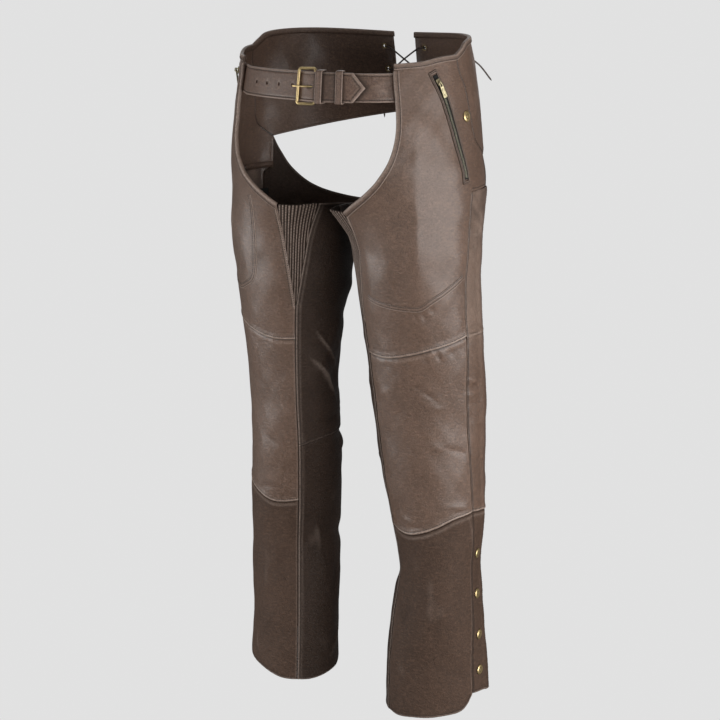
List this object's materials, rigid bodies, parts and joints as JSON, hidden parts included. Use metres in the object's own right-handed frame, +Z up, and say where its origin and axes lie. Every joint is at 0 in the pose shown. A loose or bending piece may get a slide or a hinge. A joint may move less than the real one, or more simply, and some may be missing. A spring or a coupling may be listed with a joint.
{
  "type": "leather chaps",
  "caption": "Worn-form leather chaps with buckled waist belt, laced back yoke, zipped slanting hip pockets, snap-closed side flaps and ribbed inseam gussets.",
  "frame": {"origin": "middle of the waist, at half the height of the belt, where the wearer's waist holds the chaps up", "axes": "+Z up, -Y to the front, +X to the wearer's left"},
  "size_m": [0.4462, 0.4179, 1.072],
  "materials": {
    "front_leather": "soft sheen, worn pale on the edges and seams",
    "shin_leather": "soft sheen, darker and creased",
    "back_leather": "soft sheen, creased behind the knee",
    "stretch_leather": "ribbed stretch leather",
    "binding_leather": "folded and stitched",
    "belt_leather": "semi-gloss with edge stitching",
    "brass": "antique, polished on the high spots",
    "zip_tape": "woven tape with metal teeth",
    "lace": "round waxed lace"
  },
  "bodies": {
    "root": {"back_lace": "lace", "belt_keeper_1": "belt_leather", "belt_keeper_2": "belt_leather", "belt_left_strap": "belt_leather", "belt_right_strap": "belt_leather", "buckle_frame": "brass", "buckle_prong": "brass", "left_back_lower_panel": "back_leather", "left_back_upper_panel": "back_leather", "left_back_yoke": "front_leather", "left_cutout_binding": "binding_leather", "left_eyelet_1": "brass", "left_eyelet_2": "brass", "left_eyelet_3": "brass", "left_hip_snap": "brass", "left_knee_panel": "front_leather", "left_leg_snap_1": "brass", "left_leg_snap_2": "brass", "left_leg_snap_3": "brass", "left_leg_snap_4": "brass", "left_leg_zip": "zip_tape", "left_pocket_welt": "binding_leather", "left_pocket_zip": "zip_tape", "left_shin_panel": "shin_leather", "left_side_strip": "front_leather", "left_snap_flap": "shin_leather", "left_stretch_gusset": "stretch_leather", "left_thigh_panel": "front_leather", "left_waist_binding": "binding_leather", "left_zip_slider": "brass", "right_back_lower_panel": "back_leather", "right_back_upper_panel": "back_leather", "right_back_yoke": "front_leather", "right_cutout_binding": "binding_leather", "right_eyelet_1": "brass", "right_eyelet_2": "brass", "right_eyelet_3": "brass", "right_hip_snap": "brass", "right_knee_panel": "front_leather", "right_leg_snap_1": "brass", "right_leg_snap_2": "brass", "right_leg_snap_3": "brass", "right_leg_snap_4": "brass", "right_leg_zip": "zip_tape", "right_pocket_welt": "binding_leather", "right_pocket_zip": "zip_tape", "right_shin_panel": "shin_leather", "right_side_strip": "front_leather", "right_snap_flap": "shin_leather", "right_stretch_gusset": "stretch_leather", "right_thigh_panel": "front_leather", "right_waist_binding": "binding_leather", "right_zip_slider": "brass"},
    "pull_left": {"left_pull_tab": "brass"},
    "pull_right": {"right_pull_tab": "brass"}
  },
  "joints": [
    {"name": "left_pull_swing", "type": "hinge", "parent": "root", "child": "pull_left", "pos_m": [0.18425, -0.05667, 0.00707], "axis": [-0.3599, -0.8283, -0.4295], "range_deg": [0, 150]},
    {"name": "right_pull_swing", "type": "hinge", "parent": "root", "child": "pull_right", "pos_m": [-0.18425, -0.05667, 0.00707], "axis": [-0.3599, 0.8283, 0.4295], "range_deg": [0, 150]}
  ]
}
